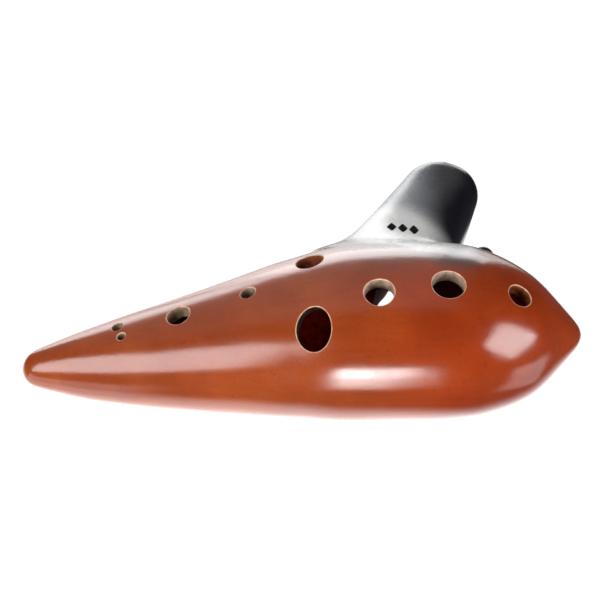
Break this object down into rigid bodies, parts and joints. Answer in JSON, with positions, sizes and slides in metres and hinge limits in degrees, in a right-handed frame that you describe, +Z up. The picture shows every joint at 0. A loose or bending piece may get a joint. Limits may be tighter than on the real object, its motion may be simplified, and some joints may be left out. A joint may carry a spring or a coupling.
{
  "type": "ocarina",
  "caption": "Hollow fired-clay transverse ocarina with a tapered tail, blunt nose, finger holes on top, thumb holes below and a flat mouthpiece at the back.",
  "frame": {"origin": "middle of the bounding box in plan, on the surface that the flat sole rests on", "axes": "+X from the tail to the nose, +Y towards the mouthpiece at the player's side, +Z up through the finger holes"},
  "size_m": [0.1712, 0.0952, 0.0485],
  "materials": {
    "burnished_clay": "burnished red-brown terracotta, satin gloss",
    "belly_clay": "burnished red-brown terracotta, satin gloss",
    "smoked_clay": "smoke-blackened burnished clay, satin",
    "smoked_floor": "smoke-blackened burnished clay, satin",
    "cut_clay": "knife-cut raw clay, matt",
    "raw_coil": "raw clay pressed in by finger, matt",
    "smoked_lug": "smoke-blackened clay, matt"
  },
  "bodies": {
    "root": {"upper_shell": "burnished_clay", "lower_shell": "belly_clay", "mouthpiece_roof": "smoked_clay", "mouthpiece_floor": "smoked_floor", "labium": "cut_clay", "seam_coil": "raw_coil", "strap_lug": "smoked_lug"}
  },
  "joints": []
}
